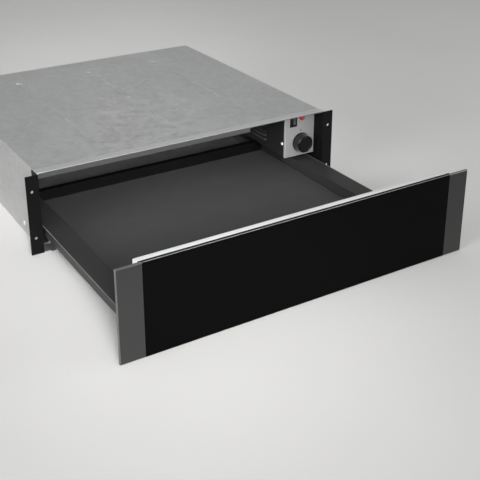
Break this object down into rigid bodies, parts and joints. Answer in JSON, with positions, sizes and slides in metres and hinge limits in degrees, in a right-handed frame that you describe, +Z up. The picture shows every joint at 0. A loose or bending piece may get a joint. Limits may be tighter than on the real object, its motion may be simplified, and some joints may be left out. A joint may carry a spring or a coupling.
{
  "type": "warming drawer",
  "caption": "Built-in warming drawer with a black glass front, a recessed tray on telescopic runners, and a steel housing with a control box and fan heater.",
  "frame": {"origin": "on the housing's underside, midway between its sides, in the plane where the front flanges meet the cabinet", "axes": "+X to the right seen from the front, +Y into the cabinet, +Z up; the drawer opens towards -Y"},
  "size_m": [0.596, 0.875, 0.141],
  "materials": {
    "black_glass": "polished black-backed glass",
    "graphite_trim": "satin graphite anodised",
    "bright_strip": "bright satin anodised",
    "bright_rail": "satin",
    "black_bond": "matt foam adhesive",
    "tray_grey": "semi-gloss grey coating",
    "mat_grey": "fine matt anti-slip",
    "zinc_sheet": "galvanised",
    "zinc_steel": "bright zinc plated",
    "black_flange": "matt black powder coat",
    "dark_casing": "dark satin coating",
    "light_fascia": "light grey satin coating",
    "black_plastic": "fine moulded texture",
    "grey_rocker": "moulded",
    "red_lens": "clear red moulded",
    "screw_steel": "bright plated",
    "rotor_aluminium": "mill finish",
    "bush_brass": "turned",
    "coil_wrap": "woven tape wrap",
    "stator_steel": "laminated steel",
    "element_sheath": "heat-dulled",
    "white_plastic": "moulded",
    "mineral_wool": "felted fibre"
  },
  "bodies": {
    "housing": {"base_pan": "zinc_sheet", "side_wall_left": "zinc_sheet", "side_wall_right": "zinc_sheet", "rear_wall": "zinc_sheet", "top_plate": "zinc_sheet", "ceiling_plate": "black_flange", "insulation_mat": "mineral_wool", "front_rail": "bright_rail", "flange_left": "black_flange", "flange_right": "black_flange", "fixed_rail_left": "zinc_steel", "fixed_rail_right": "zinc_steel", "runner_rivets": "screw_steel", "rear_screws": "screw_steel", "control_casing": "dark_casing", "casing_screws": "screw_steel", "control_fascia": "light_fascia", "selector_body": "black_plastic", "switch_body": "black_plastic", "lamp_lens": "red_lens", "lamp_holder": "black_plastic", "blower_scroll": "zinc_steel", "blower_bush": "bush_brass", "motor_stator": "stator_steel", "motor_coil": "coil_wrap", "motor_bracket": "zinc_steel", "heating_element": "element_sheath", "heater_bracket": "zinc_steel", "thermal_cutout": "zinc_steel", "terminal_block": "white_plastic", "inlet_gland": "black_plastic", "latch_body": "black_plastic"},
    "drawer": {"front_glass": "black_glass", "trim_left": "graphite_trim", "trim_right": "graphite_trim", "bond_strips": "black_bond", "front_carrier": "zinc_sheet", "top_strip": "bright_strip", "inner_panel": "tray_grey", "tray": "tray_grey", "floor_mat": "mat_grey", "front_bracket_left": "zinc_steel", "front_bracket_right": "zinc_steel", "bracket_screws": "screw_steel", "drawer_rail_left": "zinc_steel", "drawer_rail_right": "zinc_steel", "striker_plate": "zinc_steel"},
    "middle_rails": {"middle_rail_left": "zinc_steel", "middle_rail_right": "zinc_steel"},
    "knob": {"knob": "black_plastic", "knob_shaft": "zinc_steel"},
    "rocker": {"rocker": "grey_rocker"},
    "blower": {"blower_rotor": "rotor_aluminium", "blower_shaft": "zinc_steel"},
    "latch_plunger": {"latch_plunger": "white_plastic"}
  },
  "joints": [
    {"name": "drawer_slide", "type": "slide", "parent": "housing", "child": "drawer", "axis": [0, -1, 0], "range_m": [-0.32, 0.105]},
    {"name": "middle_rail_slide", "type": "slide", "parent": "housing", "child": "middle_rails", "axis": [0, -1, 0], "range_m": [-0.16, 0.0525]},
    {"name": "knob_turn", "type": "hinge", "parent": "housing", "child": "knob", "pos_m": [0.2423, 0.025, 0.0761], "axis": [0, 1, 0], "range_deg": [0, 270]},
    {"name": "rocker_tilt", "type": "hinge", "parent": "housing", "child": "rocker", "pos_m": [0.2253, 0.0275, 0.11899], "axis": [0, 0, 1], "range_deg": [0, 14]},
    {"name": "blower_spin", "type": "hinge", "parent": "housing", "child": "blower", "pos_m": [0.246, 0.15, 0.10003], "axis": [0, 1, 0], "continuous": true},
    {"name": "latch_press", "type": "slide", "parent": "housing", "child": "latch_plunger", "axis": [0, 1, 0], "range_m": [0, 0.008], "stiffness_N_per_m": 300, "springref_m": -0.005}
  ],
  "couplings": [
    {"joint": "middle_rail_slide", "follows": "drawer_slide", "ratio": 0.5}
  ]
}
